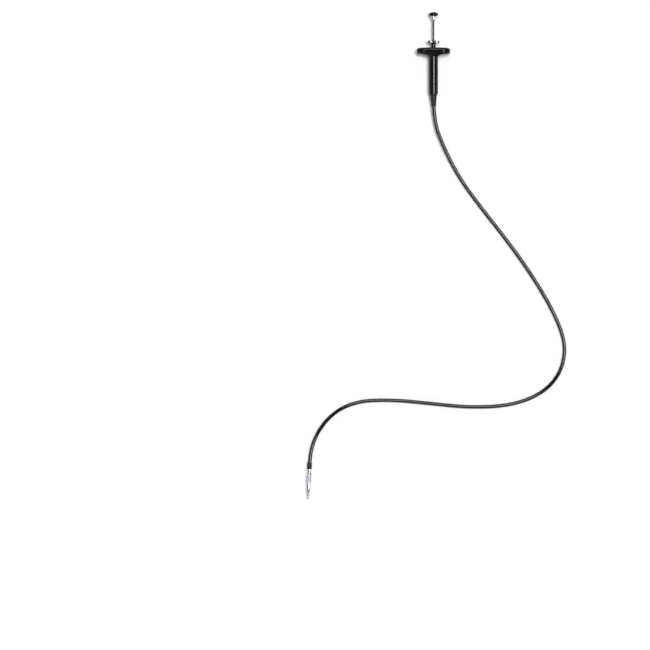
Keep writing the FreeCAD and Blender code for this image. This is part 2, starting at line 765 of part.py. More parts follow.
def build():
    edges, radii = rounded_path(cable_points())
    print("cable length %.1f, bend radii:" % Part.Wire(edges).Length, [round(r) for r in radii])
    lock_spring = compression_spring(
        "lock_spring", LOCK_SPRING_OUTSIDE, LOCK_SPRING_WIRE, LOCK_SPRING_TURNS, SLEEVE_BOTTOM, -STEM_INSIDE
    )
    return_spring = compression_spring(
        "return_spring",
        RETURN_SPRING_OUTSIDE,
        RETURN_SPRING_WIRE,
        RETURN_SPRING_TURNS,
        PLUG_TOP,
        STOP_COLLAR_TOP - STOP_COLLAR_LENGTH / 2,
    )
    return {
        "thumb_button": on_handle(thumb_button()),
        "button_collar": on_handle(button_collar()),
        "plunger_rod": on_handle(plunger_rod()),
        "stop_collar": on_handle(stop_collar()),
        "wire_clamp": on_handle(wire_clamp()),
        "lock_disc": on_handle(lock_disc()),
        "lock_stem": on_handle(lock_stem()),
        "lock_balls": on_handle(lock_balls()),
        "lock_spring": on_handle(lock_spring),
        "lock_sleeve": on_handle(lock_sleeve()),
        "guide_bush": on_handle(guide_bush()),
        "return_spring": on_handle(return_spring),
        "finger_rest": on_handle(finger_rest()),
        "grip_barrel": on_handle(grip_barrel()),
        "end_plug": on_handle(end_plug()),
        "strain_relief": on_handle(strain_relief()),
        "cable_sheath": swept(edges, CABLE_DIAMETER, CONDUIT_DIAMETER + 2 * PRESS_GAP),
        "cable_conduit": swept(edges, CONDUIT_DIAMETER, CONDUIT_BORE),
        "release_wire": release_wire(edges),
        "end_sleeve": on_tip(end_sleeve()),
        "tip_ferrule": on_tip(tip_ferrule()),
        "swivel_bush": on_tip(swivel_bush()),
        "thread_collar": on_tip(thread_collar()),
        "release_pin": on_tip(release_pin()),
    }


os.makedirs("parts", exist_ok=True)
for name, shape in build().items():
    shape.exportStep("parts/%s.step" % name)
    box = shape.BoundBox
    print("%-14s valid %s solids %d volume %9.2f  X %.2f..%.2f Y %.2f..%.2f Z %.2f..%.2f" % (
        name, shape.isValid(), len(shape.Solids), shape.Volume,
        box.XMin, box.XMax, box.YMin, box.YMax, box.ZMin, box.ZMax))
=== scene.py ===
import bpy
import bmesh
import json
import math
from mathutils import Matrix, Vector


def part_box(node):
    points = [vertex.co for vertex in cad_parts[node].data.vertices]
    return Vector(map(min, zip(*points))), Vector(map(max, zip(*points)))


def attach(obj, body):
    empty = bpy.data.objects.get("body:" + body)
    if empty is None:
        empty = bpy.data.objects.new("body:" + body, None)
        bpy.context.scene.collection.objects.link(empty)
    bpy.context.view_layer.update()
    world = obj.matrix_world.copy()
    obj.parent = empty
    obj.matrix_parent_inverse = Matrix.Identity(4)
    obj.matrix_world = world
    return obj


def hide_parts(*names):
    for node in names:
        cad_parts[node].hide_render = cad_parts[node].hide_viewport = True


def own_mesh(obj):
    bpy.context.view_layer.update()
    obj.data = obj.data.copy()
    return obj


# A mechanical cable shutter release on a pale floor, its cable in a loose S.
# Shapes are made in millimetres about Z and are then put in their place in metres. Handle stations are
# measured from the finger rest's upper face, towards the thumb button. Tip stations are measured from the
# cable's front end, outwards.

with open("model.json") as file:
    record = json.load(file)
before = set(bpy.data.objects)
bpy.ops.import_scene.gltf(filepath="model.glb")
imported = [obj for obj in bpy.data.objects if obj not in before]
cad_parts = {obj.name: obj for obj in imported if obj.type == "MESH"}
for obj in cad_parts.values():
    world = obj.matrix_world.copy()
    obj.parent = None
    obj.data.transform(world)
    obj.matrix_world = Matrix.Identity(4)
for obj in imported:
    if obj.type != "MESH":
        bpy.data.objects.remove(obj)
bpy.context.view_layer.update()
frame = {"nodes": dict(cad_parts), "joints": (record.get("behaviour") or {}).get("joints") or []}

# ---------------------------------------------------------------- where the handle and the tip lie
MM_IN_METRE = 1000
IN_METRES = Matrix.Scale(1 / MM_IN_METRE, 4)
REST_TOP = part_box("finger_rest")[1].y
barrel_low, barrel_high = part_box("grip_barrel")
AXIS_HEIGHT = (barrel_low.z + barrel_high.z) / 2
TIP_AXIS = Vector(next(j["axis"] for j in frame["joints"] if j["name"] == "tip_pin_slide"))
CABLE_END = Vector((-0.119912, -0.403136, 0.00285))

ON_HANDLE = Matrix.Translation((0, REST_TOP, AXIS_HEIGHT)) @ Matrix.Rotation(math.radians(-90), 4, "X")
ON_TIP = Matrix.Translation(CABLE_END) @ Vector((0, 0, 1)).rotation_difference(TIP_AXIS).to_matrix().to_4x4()

# ---------------------------------------------------------------- the cable's route, in metres
CABLE_RADIUS = 0.0018
LINER_RADIUS = 0.0012
WIRE_RADIUS = 0.0005
PIN_BACK = 0.0077
ROUTE = [
    (0.0, -0.06415, 0.00675),
    (0.011, -0.09215, 0.00405),
    (0.025, -0.11915, 0.00205),
    (0.043, -0.14415, 0.00185),
    (0.073, -0.18215, 0.00185),
    (0.093, -0.21015, 0.00185),
    (0.111, -0.23915, 0.00185),
    (0.123, -0.26415, 0.00185),
    (0.128, -0.28415, 0.00185),
    (0.124, -0.30515, 0.00185),
    (0.112, -0.32215, 0.00185),
    (0.092, -0.33415, 0.00185),
    (0.067, -0.34015, 0.00185),
    (0.036, -0.34115, 0.00185),
    (0.012, -0.33915, 0.00185),
    (-0.025, -0.33515, 0.00185),
    (-0.048, -0.33415, 0.00185),
    (-0.070, -0.33515, 0.00185),
    (-0.090, -0.34215, 0.00185),
    (-0.106, -0.35615, 0.00185),
    (-0.116, -0.37415, 0.00205),
    (-0.1193, -0.39015, 0.00285),
]
CABLE_START = Vector((0, -0.03725, AXIS_HEIGHT))
WIRE_START = Vector((0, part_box("plunger_rod")[0].y, AXIS_HEIGHT))
WIRE_END = CABLE_END + TIP_AXIS * PIN_BACK


# ---------------------------------------------------------------- objects and meshes
def placed(name, data):
    """A new object in the scene."""
    made = bpy.data.objects.new(name, data)
    bpy.context.scene.collection.objects.link(made)
    return made


def stand_in(name, data, body, slot, *nodes):
    """A new object that rides on a body and stands for CAD nodes."""
    made = placed(name, data)
    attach(made, body)
    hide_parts(*nodes)
    return made


def mesh_of(bm, name):
    """A shape as a mesh; the shape is used up."""
    mesh = bpy.data.meshes.new(name)
    bm.to_mesh(mesh)
    bm.free()
    return mesh


# ---------------------------------------------------------------- camera
VIEW_WIDTH = 0.6279
VIEW_CENTRE = (-0.1046, -0.2617)
LENS = 200
SENSOR = 36
FAR_CLIP = 50


def camera():
    """A camera straight above, far enough off to show the parts almost without perspective."""
    data = bpy.data.cameras.new("camera")
    data.lens = LENS
    data.sensor_width = SENSOR
    data.clip_end = FAR_CLIP
    eye = placed("camera", data)
    eye.location = (*VIEW_CENTRE, VIEW_WIDTH * LENS / SENSOR + AXIS_HEIGHT / 2)
    bpy.context.scene.camera = eye


# ---------------------------------------------------------------- node helpers
def feed(tree, socket, value):
    """Links an output to a socket, or sets a constant on it."""
    if isinstance(value, bpy.types.NodeSocket):
        tree.links.new(value, socket)
    else:
        socket.default_value = value


def node(tree, kind, inputs=(), **settings):
    """Adds a node, with its settings, and its inputs as (name, value or output) pairs."""
    made = tree.nodes.new(kind)
    for name, value in settings.items():
        setattr(made, name, value)
    for name, value in inputs:
        feed(tree, made.inputs[name], value)
    return made


def math_node(tree, operation, first, second=0.0):
    """One step of arithmetic."""
    return node(tree, "ShaderNodeMath", [(0, first), (1, second)], operation=operation).outputs[0]


def times(tree, first, second):
    """The product of two values."""
    return math_node(tree, "MULTIPLY", first, second)


def plus(tree, first, second):
    """The sum of two values."""
    return math_node(tree, "ADD", first, second)


def span(tree, value, low, high, to_low, to_high):
    """Maps a value from one span to another, held at its ends."""
    ends = [("Value", value), ("From Min", low), ("From Max", high), ("To Min", to_low), ("To Max", to_high)]
    return node(tree, "ShaderNodeMapRange", ends).outputs["Result"]


def mixed(tree, share, first, second):
    """A colour between two others."""
    return node(tree, "ShaderNodeMix", [(0, share), (6, first), (7, second)], data_type="RGBA").outputs[2]


def noise(tree, vector, scale, **others):
    """The value of a noise texture, with its other inputs by name."""
    inputs = [("Vector", vector), ("Scale", scale), *others.items()]
    return node(tree, "ShaderNodeTexNoise", inputs).outputs["Fac"]


def new_group(name, measure, usual, output):
    """A node group that takes a vector and one measure, and gives one value."""
    tree = bpy.data.node_groups.new(name, "ShaderNodeTree")
    tree.interface.new_socket(name="Vector", in_out="INPUT", socket_type="NodeSocketVector")
    measured = tree.interface.new_socket(name=measure, in_out="INPUT", socket_type="NodeSocketFloat")
    measured.default_value = usual
    tree.interface.new_socket(name=output, in_out="OUTPUT", socket_type="NodeSocketFloat")
    given = tree.nodes.new("NodeGroupInput")
    result = tree.nodes.new("NodeGroupOutput")
    return tree, given.outputs["Vector"], given.outputs[measure], result.inputs[output]


# ---------------------------------------------------------------- effects that several finishes share
def edge_wear_group():
    """A mask of the rounded edges, broken up so that the wear is patchy."""
    agree_on_flat = 0.998
    agree_on_edge = 0.93
    tree, vector, reach, result = new_group("edge_wear", "Reach", 0.0002, "Mask")
    softened = node(tree, "ShaderNodeBevel", [("Radius", reach)], samples=6)
    surface = node(tree, "ShaderNodeNewGeometry")
    normals = [(0, softened.outputs["Normal"]), (1, surface.outputs["Normal"])]
    agree = node(tree, "ShaderNodeVectorMath", normals, operation="DOT_PRODUCT").outputs["Value"]
    edge = span(tree, agree, agree_on_flat, agree_on_edge, 0.0, 1.0)
    broken = span(tree, noise(tree, vector, 900.0, Detail=3.0), 0.42, 0.62, 0.0, 1.0)
    tree.links.new(times(tree, edge, broken), result)
    return tree


def hairlines_group():
    """Fine handling scratches in three directions, as a mask."""
    line_width = 0.012
    tree, vector, scale, result = new_group("hairlines", "Scale", 300.0, "Mask")
    total = None
    for turn, stretch in ((0.4, 0.035), (1.7, 0.05), (2.6, 0.03)):
        rotation = (turn, turn * 0.7, turn * 1.3)
        drawn_out = [("Vector", vector), ("Rotation", rotation), ("Scale", (1, stretch, 1))]
        laid = node(tree, "ShaderNodeMapping", drawn_out)
        streak = noise(tree, laid.outputs["Vector"], scale, Detail=2.0)
        off_middle = math_node(tree, "ABSOLUTE", math_node(tree, "SUBTRACT", streak, 0.5))
        line = span(tree, off_middle, 0.0, line_width, 1.0, 0.0)
        total = line if total is None else math_node(tree, "MAXIMUM", total, line)
    shown = span(tree, noise(tree, vector, 160.0), 0.45, 0.65, 0.0, 1.0)
    tree.links.new(times(tree, total, shown), result)
    return tree


def lathe_rings_group():
    """The fine rings that turning leaves, round the piece's own Z and on its end faces."""
    tree, vector, scale, result = new_group("lathe_rings", "Scale", 9000.0, "Value")
    parts = node(tree, "ShaderNodeSeparateXYZ", [("Vector", vector)]).outputs
    squares = plus(tree, times(tree, parts["X"], parts["X"]), times(tree, parts["Y"], parts["Y"]))
    radius = math_node(tree, "SQRT", squares)
    along = node(tree, "ShaderNodeCombineXYZ", [("X", radius), ("Y", parts["Z"])])
    tree.links.new(noise(tree, along.outputs["Vector"], scale, Detail=3.0, Roughness=0.6), result)
    return tree


def drawn_lines_group():
    """The long fine lines that drawing leaves along a rod, on the piece's own Z."""
    tree, vector, scale, result = new_group("drawn_lines", "Scale", 7000.0, "Value")
    drawn = node(tree, "ShaderNodeMapping", [("Vector", vector), ("Scale", (1, 1, 0.02))])
    tree.links.new(noise(tree, drawn.outputs["Vector"], scale, Detail=3.0), result)
    return tree


def mottle_group():
    """Slow, soft differences over a surface, for smears of handling and uneven gloss."""
    tree, vector, scale, result = new_group("mottle", "Scale", 120.0, "Value")
    slow = noise(tree, vector, scale, Detail=4.0, Distortion=0.6)
    tree.links.new(span(tree, slow, 0.3, 0.7, 0.0, 1.0), result)
    return tree


def grain_group():
    """A fine pebbled height, for moulded skin and rubber."""
    tree, vector, scale, result = new_group("grain", "Scale", 2500.0, "Height")
    pebbles = node(
        tree, "ShaderNodeTexVoronoi", [("Vector", vector), ("Scale", scale)], feature="SMOOTH_F1"
    )
    ripple = noise(tree, vector, scale, Detail=2.0)
    tree.links.new(plus(tree, pebbles.outputs["Distance"], ripple), result)
    return tree


def dust_group():
    """Tiny specks of dust that lie on what faces up."""
    tree, vector, scale, result = new_group("dust", "Scale", 1400.0, "Mask")
    specks = node(tree, "ShaderNodeTexVoronoi", [("Vector", vector), ("Scale", scale)])
    near = span(tree, specks.outputs["Distance"], 0.06, 0.12, 1.0, 0.0)
    chosen = node(tree, "ShaderNodeSeparateColor", [("Color", specks.outputs["Color"])])
    few = span(tree, chosen.outputs["Red"], 0.86, 0.9, 0.0, 1.0)
    surface = node(tree, "ShaderNodeNewGeometry")
    facing = node(tree, "ShaderNodeSeparateXYZ", [("Vector", surface.outputs["Normal"])])
    upward = span(tree, facing.outputs["Z"], 0.2, 0.9, 0.0, 1.0)
    tree.links.new(times(tree, times(tree, near, few), upward), result)
    return tree


EDGE_WEAR = edge_wear_group()
HAIRLINES = hairlines_group()
LATHE_RINGS = lathe_rings_group()
DRAWN_LINES = drawn_lines_group()
MOTTLE = mottle_group()
GRAIN = grain_group()
DUST = dust_group()

# ---------------------------------------------------------------- colours, and heights of relief in metres
MOULD_DARK = (0.005, 0.005, 0.0055, 1)
MOULD_PALE = (0.010, 0.010, 0.0105, 1)
MOULD_RUBBED = (0.055, 0.055, 0.058, 1)
MOULD_DUST = (0.16, 0.155, 0.15, 1)
SKIN_DARK = (0.003, 0.0032, 0.0042, 1)
SKIN_PALE = (0.006, 0.0063, 0.008, 1)
SKIN_DUST = (0.15, 0.145, 0.14, 1)
RUBBER_DARK = (0.006, 0.006, 0.006, 1)
RUBBER_PALE = (0.012, 0.012, 0.0125, 1)
RUBBER_RUBBED = (0.045, 0.045, 0.045, 1)
BRASS_CLEAN = (0.76, 0.56, 0.24, 1)
BRASS_BROWNED = (0.46, 0.31, 0.13, 1)
CHROME_LIGHT = (0.82, 0.83, 0.85, 1)
CHROME_DARK = (0.70, 0.71, 0.74, 1)
# Painted shade: the disc's chrome colours sit well below chrome, standing in for the dark surroundings the
# disc mirrors.
DISC_PAINTED_SHADE_LIGHT = (0.40, 0.40, 0.43, 1)
DISC_PAINTED_SHADE_DARK = (0.30, 0.30, 0.33, 1)
NICKEL_LIGHT = (0.80, 0.81, 0.85, 1)
NICKEL_DARK = (0.66, 0.67, 0.72, 1)
# Painted sheen: the knurl's colours are lighter than the nickel plate beside it, standing in for the light
# the knurl catches.
KNURL_PAINTED_SHEEN_LIGHT = (0.88, 0.90, 0.95, 1)
KNURL_PAINTED_SHEEN_DARK = (0.78, 0.80, 0.86, 1)
BLACK_LIGHT = (0.03, 0.03, 0.032, 1)
BLACK_DARK = (0.015, 0.015, 0.017, 1)
STEEL_LIGHT = (0.58, 0.59, 0.61, 1)
STEEL_DARK = (0.46, 0.47, 0.49, 1)
# Painted shade: the rod's steel colours are far darker than steel, standing in for the dark surroundings the
# rod mirrors.
ROD_PAINTED_SHADE_LIGHT = (0.035, 0.035, 0.038, 1)
ROD_PAINTED_SHADE_DARK = (0.02, 0.02, 0.022, 1)

PEEL_HEIGHT = 0.00001
PLATED_RINGS_HEIGHT = 0.0000012
BRASS_RINGS_HEIGHT = 0.000003
DRAWN_LINES_HEIGHT = 0.0000015
SKIN_GRAIN_HEIGHT = 0.000003
RUBBER_GRAIN_HEIGHT = 0.000012

PLATE_WEAR_REACH = 0.00018
KNURL_WEAR_REACH = 0.00008


# ---------------------------------------------------------------- finishes
def effect(tree, group, vector, measure):
    """What a shared effect gives at a vector; measure is its scale per metre, or its reach in metres."""
    return node(tree, "ShaderNodeGroup", [(0, vector), (1, measure)], node_tree=group).outputs[0]


def new_finish(name, place):
    """A material, its tree and shader, and coordinates about the piece's own axis."""
    material = bpy.data.materials.new(name)
    material.use_nodes = True
    tree = material.node_tree
    shader = tree.nodes["Principled BSDF"]
    back = place.inverted()
    coordinates = node(tree, "ShaderNodeTexCoord").outputs["Object"]
    moved = [("Vector", coordinates), ("Location", back.to_translation()), ("Rotation", back.to_euler())]
    return material, tree, shader, node(tree, "ShaderNodeMapping", moved).outputs["Vector"]


def set_roughness(tree, shader, roughness, *marks):
    """Roughness, and how much each (mask, amount) adds to it."""
    for mask, amount in marks:
        roughness = plus(tree, roughness, times(tree, mask, amount))
    tree.links.new(roughness, shader.inputs["Roughness"])


def set_height(tree, shader, relief, height):
    """A fine relief in the shading; height is in metres."""
    bump = node(tree, "ShaderNodeBump", [("Height", relief), ("Distance", height), ("Strength", 1.0)])
    tree.links.new(bump.outputs["Normal"], shader.inputs["Normal"])


def moulded_black(name, place, shine):
    """Black moulding, polished by its mould and rubbed grey on its edges."""
    material, tree, shader, vector = new_finish(name, place)
    shader.inputs["Specular IOR Level"].default_value = shine
    wear = effect(tree, EDGE_WEAR, vector, 0.00025)
    smears = effect(tree, MOTTLE, vector, 140.0)
    scratches = effect(tree, HAIRLINES, vector, 420.0)
    specks = effect(tree, DUST, vector, 900.0)
    body = mixed(tree, smears, MOULD_DARK, MOULD_PALE)
    rubbed = mixed(tree, times(tree, wear, 0.5), body, MOULD_RUBBED)
    dusty = mixed(tree, times(tree, specks, 0.5), rubbed, MOULD_DUST)
    tree.links.new(dusty, shader.inputs["Base Color"])
    set_roughness(tree, shader, span(tree, smears, 0.0, 1.0, 0.07, 0.13), (wear, 0.2), (scratches, 0.16))
    peel = noise(tree, vector, 700.0, Detail=2.0)
    set_height(tree, shader, math_node(tree, "SUBTRACT", peel, times(tree, scratches, 0.3)), PEEL_HEIGHT)
    return material


def plated(name, place, light, dark, smooth, dull, reach=PLATE_WEAR_REACH):
    """Bright plate over turned metal: fine rings below the plate, hairlines and rubbed edges on it."""
    material, tree, shader, vector = new_finish(name, place)
    shader.inputs["Metallic"].default_value = 1.0
    rings = effect(tree, LATHE_RINGS, vector, 7000.0)
    smears = effect(tree, MOTTLE, vector, 260.0)
    scratches = effect(tree, HAIRLINES, vector, 500.0)
    wear = effect(tree, EDGE_WEAR, vector, reach)
    tone = mixed(tree, times(tree, smears, 0.35), light, dark)
    tree.links.new(mixed(tree, times(tree, wear, 0.25), tone, light), shader.inputs["Base Color"])
    set_roughness(tree, shader, span(tree, rings, 0.3, 0.7, smooth, dull), (smears, 0.05), (scratches, 0.14))
    set_height(tree, shader, rings, PLATED_RINGS_HEIGHT)
    return material


def turned_brass(name, place):
    """Machined brass, browned in patches."""
    material, tree, shader, vector = new_finish(name, place)
    shader.inputs["Metallic"].default_value = 1.0
    rings = effect(tree, LATHE_RINGS, vector, 6000.0)
    stain = effect(tree, MOTTLE, vector, 220.0)
    browned = mixed(tree, times(tree, stain, 0.6), BRASS_CLEAN, BRASS_BROWNED)
    tree.links.new(browned, shader.inputs["Base Color"])
    set_roughness(tree, shader, span(tree, rings, 0.25, 0.75, 0.18, 0.36))
    set_height(tree, shader, rings, BRASS_RINGS_HEIGHT)
    return material


def drawn_steel(name, place, light, dark):
    """Drawn steel with lines along it."""
    material, tree, shader, vector = new_finish(name, place)
    shader.inputs["Metallic"].default_value = 1.0
    lines = effect(tree, DRAWN_LINES, vector, 6000.0)
    smears = effect(tree, MOTTLE, vector, 180.0)
    tree.links.new(mixed(tree, smears, light, dark), shader.inputs["Base Color"])
    set_roughness(tree, shader, span(tree, lines, 0.3, 0.7, 0.1, 0.24), (smears, 0.05))
    set_height(tree, shader, lines, DRAWN_LINES_HEIGHT)
    return material


def cable_skin(place):
    """The cable's black vinyl: a smooth, glossy skin with a very fine grain."""
    material, tree, shader, vector = new_finish("cable_skin_finish", place)
    shader.inputs["Specular IOR Level"].default_value = 0.55
    smears = effect(tree, MOTTLE, vector, 70.0)
    scratches = effect(tree, HAIRLINES, vector, 260.0)
    specks = effect(tree, DUST, vector, 700.0)
    grain = effect(tree, GRAIN, vector, 1800.0)
    body = mixed(tree, smears, SKIN_DARK, SKIN_PALE)
    dusty = mixed(tree, times(tree, specks, 0.45), body, SKIN_DUST)
    tree.links.new(dusty, shader.inputs["Base Color"])
    set_roughness(tree, shader, span(tree, smears, 0.0, 1.0, 0.04, 0.08), (scratches, 0.12))
    set_height(tree, shader, grain, SKIN_GRAIN_HEIGHT)
    return material


def sleeve_rubber(name, place):
    """Matt black rubber with a fine grain, rubbed grey on its edges."""
    material, tree, shader, vector = new_finish(name, place)
    smears = effect(tree, MOTTLE, vector, 300.0)
    grain = effect(tree, GRAIN, vector, 3500.0)
    wear = effect(tree, EDGE_WEAR, vector, 0.0002)
    body = mixed(tree, smears, RUBBER_DARK, RUBBER_PALE)
    tree.links.new(mixed(tree, times(tree, wear, 0.4), body, RUBBER_RUBBED), shader.inputs["Base Color"])
    set_roughness(tree, shader, span(tree, smears, 0.0, 1.0, 0.5, 0.62))
    set_height(tree, shader, grain, RUBBER_GRAIN_HEIGHT)
    return material


REST_SHINE = 0.17
BARREL_SHINE = 0.3

MOULDED_BLACK = moulded_black("moulded_black_finish", ON_HANDLE, REST_SHINE)
LACQUERED_BLACK = moulded_black("lacquered_black_finish", ON_HANDLE, BARREL_SHINE)
CHROME_ON_HANDLE = plated("chrome_plate_handle", ON_HANDLE, CHROME_LIGHT, CHROME_DARK, 0.05, 0.11)
# Painted shade: this chrome plate's colour is darkened to stand in for dark reflections on the disc.
DISC_PLATE_PAINTED_SHADE = plated("chrome_disc_painted_shade", ON_HANDLE, DISC_PAINTED_SHADE_LIGHT, DISC_PAINTED_SHADE_DARK, 0.06, 0.13)
CHROME_ON_TIP = plated("chrome_plate_tip", ON_TIP, CHROME_LIGHT, CHROME_DARK, 0.05, 0.11)
NICKEL_PLATE = plated("nickel_plate_finish", ON_TIP, NICKEL_LIGHT, NICKEL_DARK, 0.14, 0.24)
# Painted sheen: the knurl's nickel is painted lighter than the plain nickel plate.
KNURLED_NICKEL_PAINTED_SHEEN = plated(
    "knurled_nickel_painted_sheen", ON_TIP, KNURL_PAINTED_SHEEN_LIGHT, KNURL_PAINTED_SHEEN_DARK, 0.34, 0.44, KNURL_WEAR_REACH
)
BLACK_NICKEL = plated("black_nickel_finish", ON_HANDLE, BLACK_LIGHT, BLACK_DARK, 0.1, 0.18)
BRASS_ON_HANDLE = turned_brass("brass_handle", ON_HANDLE)
BRASS_ON_TIP = turned_brass("brass_tip", ON_TIP)
STEEL_ON_HANDLE = drawn_steel("steel_handle", ON_HANDLE, STEEL_LIGHT, STEEL_DARK)
# Painted shade: the rod's steel is painted near black in place of the dark reflections along it.
ROD_STEEL_PAINTED_SHADE = drawn_steel("rod_steel_painted_shade", ON_HANDLE, ROD_PAINTED_SHADE_LIGHT, ROD_PAINTED_SHADE_DARK)
STEEL_ON_TIP = drawn_steel("steel_tip", ON_TIP, STEEL_LIGHT, STEEL_DARK)
CABLE_SKIN = cable_skin(ON_HANDLE)
RUBBER_ON_HANDLE = sleeve_rubber("rubber_handle", ON_HANDLE)
RUBBER_ON_TIP = sleeve_rubber("rubber_tip", ON_TIP)


# ---------------------------------------------------------------- shape helpers, in millimetres
LARGE_ROUNDING = 0.5
MERGE_REACH = 0.0001
NEAR = 0.001


def section(corners, closed):
    """An outline in the XZ plane from (radius, station) or (radius, station, rounding) corners."""
    bm = bmesh.new()
    verts = [bm.verts.new((corner[0], 0, corner[1])) for corner in corners]
    runs = list(zip(verts, verts[1:]))
    if closed:
        runs.append((verts[-1], verts[0]))
    for run in runs:
        bm.edges.new(run)
    for vert, corner in zip(verts, corners):
        if len(corner) == 3:
            rounding = corner[2]
            bmesh.ops.bevel(
                bm, geom=[vert], offset=rounding, offset_type="OFFSET", profile=0.5, affect="VERTICES",
                segments=4 if rounding < LARGE_ROUNDING else 10, material=-1,
            )
    return bm


def merged(bm):
    """Joins the corners that lie on each other, and turns every face outwards."""
    bmesh.ops.remove_doubles(bm, verts=bm.verts[:], dist=MERGE_REACH)
    bmesh.ops.recalc_face_normals(bm, faces=bm.faces[:])
    return bm


def spun(bm, steps):
    """A section turned once round Z."""
    bmesh.ops.spin(
        bm, geom=bm.verts[:] + bm.edges[:], cent=(0, 0, 0), axis=(0, 0, 1), dvec=(0, 0, 0),
        angle=2 * math.pi, steps=steps, use_merge=True, use_duplicate=False,
    )
    return merged(bm)


def turned(*corners, steps=96, closed=True):
    """A shape turned from the corners of its section."""
    return spun(section(corners, closed), steps)


def cut_by(bm, cutter):
    """What is left of a shape when another is cut from it."""
    pair = []
    for name, shape in (("stock", bm), ("cutter", cutter)):
        pair.append(placed(name, mesh_of(shape, name)))
    stock, tool = pair
    cut = stock.modifiers.new("cut", "BOOLEAN")
    cut.operation = "DIFFERENCE"
    cut.solver = "EXACT"
    cut.object = tool
    graph = bpy.context.evaluated_depsgraph_get()
    left = bpy.data.meshes.new_from_object(stock.evaluated_get(graph))
    result = bmesh.new()
    result.from_mesh(left)
    for held in pair:
        bpy.data.objects.remove(held)
    return result


def column_of(vert, steps):
    """Which of the spin's steps a vertex is on."""
    return round(math.atan2(vert.co.y, vert.co.x) / (2 * math.pi) * steps) % steps


def reach_of(vert):
    """How far a vertex is from the axis."""
    return math.hypot(vert.co.x, vert.co.y)


def set_reach(vert, radius):
    """Moves a vertex straight out or in, to a distance from the axis."""
    scale = radius / reach_of(vert)
    vert.co.x *= scale
    vert.co.y *= scale


def piece(bm, name, place, finish, body, slot, *nodes, sharp=32, second=None):
    """Puts a shape in its place, in metres, with edges over the sharp angle left unsmoothed."""
    bm.transform(place @ IN_METRES)
    mesh = mesh_of(bm, name)
    mesh.shade_smooth()
    mesh.set_sharp_from_angle(angle=math.radians(sharp))
    mesh.materials.append(finish)
    if second:
        mesh.materials.append(second)
    return stand_in(name, mesh, body, slot, *nodes)


# ---------------------------------------------------------------- cable
STEPS_ALONG = 14
STEPS_ROUND = 6


def route_curve(name, start, end, radius, finish, slot, node_name):
    """A cord along the cable's route, as one smooth NURBS spline."""
    points = [tuple(start), *ROUTE, tuple(end)]
    data = bpy.data.curves.new(name, "CURVE")
    data.dimensions = "3D"
    data.resolution_u = STEPS_ALONG
    data.bevel_depth = radius
    data.bevel_resolution = STEPS_ROUND
    data.use_fill_caps = True
    spline = data.splines.new("NURBS")
    spline.points.add(len(points) - 1)
    for held, point in zip(spline.points, points):
        held.co = (*point, 1)
    spline.order_u = 3
    spline.use_endpoint_u = True
    data.materials.append(finish)
    return stand_in(name, data, "handle", slot, node_name)


def middle_line(cord):
    """The points down the middle of a cord, read from its spline with no thickness."""
    bare = bpy.data.objects.new("bare", cord.data.copy())
    bare.data.bevel_depth = 0
    mesh = bpy.data.meshes.new_from_object(bare)
    line = [vert.co.copy() for vert in mesh.vertices]
    bpy.data.objects.remove(bare)
    return line


def bent_along(bm, place, line):
    """Shifts each ring of a sleeve sideways, so that it follows the cable inside it."""
    back = place.inverted()
    local = sorted(((back @ point) * MM_IN_METRE for point in line), key=lambda point: point.z)
    for vert in bm.verts:
        for low, high in zip(local, local[1:]):
            if low.z <= vert.co.z <= high.z:
                share = (vert.co.z - low.z) / (high.z - low.z)
                vert.co.x += low.x + (high.x - low.x) * share
                vert.co.y += low.y + (high.y - low.y) * share
                break
    return bm


# ---------------------------------------------------------------- plunger
def thumb_button():
    """A domed moulding on a cone, with a softened rim and a blind hole for the rod."""
    return turned(
        (0, 32.8),
        (0.92, 32.8),
        (0.92, 30.2),
        (2.5, 30.2, 0.15),
        (4.42, 31.45, 0.3),
        (4.5, 31.7),
        (4.5, 32.55, 0.3),
        (4.32, 32.98),
        (2.61, 34.6, 2.4),
        (0, 34.6),
        closed=False,
        steps=128,
    )


def button_collar():
    """A bright collar with two turned grooves."""
    return turned(
        (0.92, 27.2),
        (2.05, 27.2, 0.22),
        (2.05, 27.95),
        (1.93, 28.05),
        (2.05, 28.15),
        (2.05, 29.25),
        (1.93, 29.35),
        (2.05, 29.45),
        (2.05, 30.2, 0.12),
        (0.92, 30.2),
    )


def plunger_rod():
    """The plain rod that the button drives."""
    return turned((0, -23.5), (0.9, -23.5, 0.15), (0.9, 32.8, 0.15), (0, 32.8), closed=False, steps=64)


# ---------------------------------------------------------------- lock
def lock_disc():
    """The release disc: milled round its edge, dished slightly above, with a bevelled hub."""
    steps = 192
    rim = 5.95
    milled_band = 0.5
    milled_depth = 0.1
    bm = turned(
        (2.17, 3.7),
        (2.45, 3.7, 0.15),
        (2.8, 4.4, 0.2),
        (5.0, 4.4),
        (5.2, 4.35),
        (rim, 4.4, 0.6),
        (rim, 6.7, 0.6),
        (5.1, 6.7, 0.1),
        (4.9, 6.55, 0.1),
        (3.35, 6.55, 0.15),
        (3.1, 6.75, 0.1),
        (2.7, 7.5, 0.12),
        (0.95, 7.5, 0.08),
        (0.95, 6.7),
        (1.57, 6.7),
        (1.57, 4.4),
        (2.17, 4.4),
        steps=steps,
    )
    for vert in bm.verts:
        near_rim = (reach_of(vert) - (rim - milled_band)) / milled_band
        if near_rim > 0 and column_of(vert, steps) % 2:
            set_reach(vert, reach_of(vert) - milled_depth * near_rim)
    return bm


